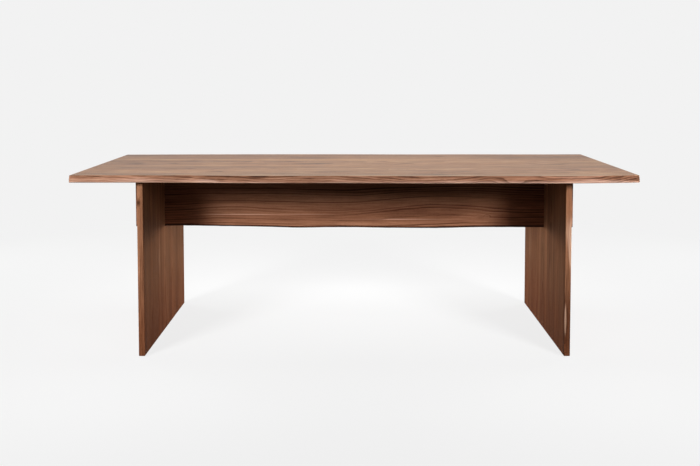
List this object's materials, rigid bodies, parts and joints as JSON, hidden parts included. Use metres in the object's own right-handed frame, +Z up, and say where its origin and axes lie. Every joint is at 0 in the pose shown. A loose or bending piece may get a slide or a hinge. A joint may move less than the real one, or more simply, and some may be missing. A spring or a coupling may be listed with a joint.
{
  "type": "dining table",
  "caption": "Solid walnut dining table with a natural-edged plank top on panel legs, tied by a tall stretcher board that is cross-lapped through both legs.",
  "frame": {"origin": "on the floor under the middle of the top", "axes": "+X along the table's length, +Y from its front to its back, +Z up"},
  "size_m": [2.286, 1.0197, 0.75],
  "materials": {
    "top_wood": "oiled satin walnut",
    "leg_wood": "oiled satin walnut",
    "stretcher_wood": "oiled satin walnut",
    "tenon_wood": "plain sanded beech",
    "angle_steel": "black powder coat",
    "channel_steel": "black powder coat",
    "fastener_steel": "zinc plated",
    "insert_brass": "turned brass",
    "glide_nylon": "matte brown nylon"
  },
  "bodies": {
    "root": {"angle_bolts": "fastener_steel", "angle_inserts": "insert_brass", "angle_washers": "fastener_steel", "glide_left_back": "glide_nylon", "glide_left_front": "glide_nylon", "glide_nails": "fastener_steel", "glide_right_back": "glide_nylon", "glide_right_front": "glide_nylon", "left_angle_screws": "fastener_steel", "left_leg_board_1_front": "leg_wood", "left_leg_board_2": "leg_wood", "left_leg_board_3_slotted": "leg_wood", "left_leg_board_4": "leg_wood", "left_leg_board_5_back": "leg_wood", "left_leg_slip_tenons": "tenon_wood", "right_angle_screws": "fastener_steel", "right_leg_board_1_front": "leg_wood", "right_leg_board_2": "leg_wood", "right_leg_board_3_slotted": "leg_wood", "right_leg_board_4": "leg_wood", "right_leg_board_5_back": "leg_wood", "right_leg_slip_tenons": "tenon_wood", "stiffener_bolts": "fastener_steel", "stiffener_inserts": "insert_brass", "stiffener_left": "channel_steel", "stiffener_right": "channel_steel", "stiffener_washers": "fastener_steel", "stretcher": "stretcher_wood", "top_angle_left_back": "angle_steel", "top_angle_left_front": "angle_steel", "top_angle_right_back": "angle_steel", "top_angle_right_front": "angle_steel", "top_board_1_front": "top_wood", "top_board_2": "top_wood", "top_board_3": "top_wood", "top_board_4": "top_wood", "top_board_5": "top_wood", "top_board_6_back": "top_wood", "top_slip_tenons_1": "tenon_wood", "top_slip_tenons_2": "tenon_wood", "top_slip_tenons_3": "tenon_wood", "top_slip_tenons_4": "tenon_wood", "top_slip_tenons_5": "tenon_wood"}
  },
  "joints": []
}
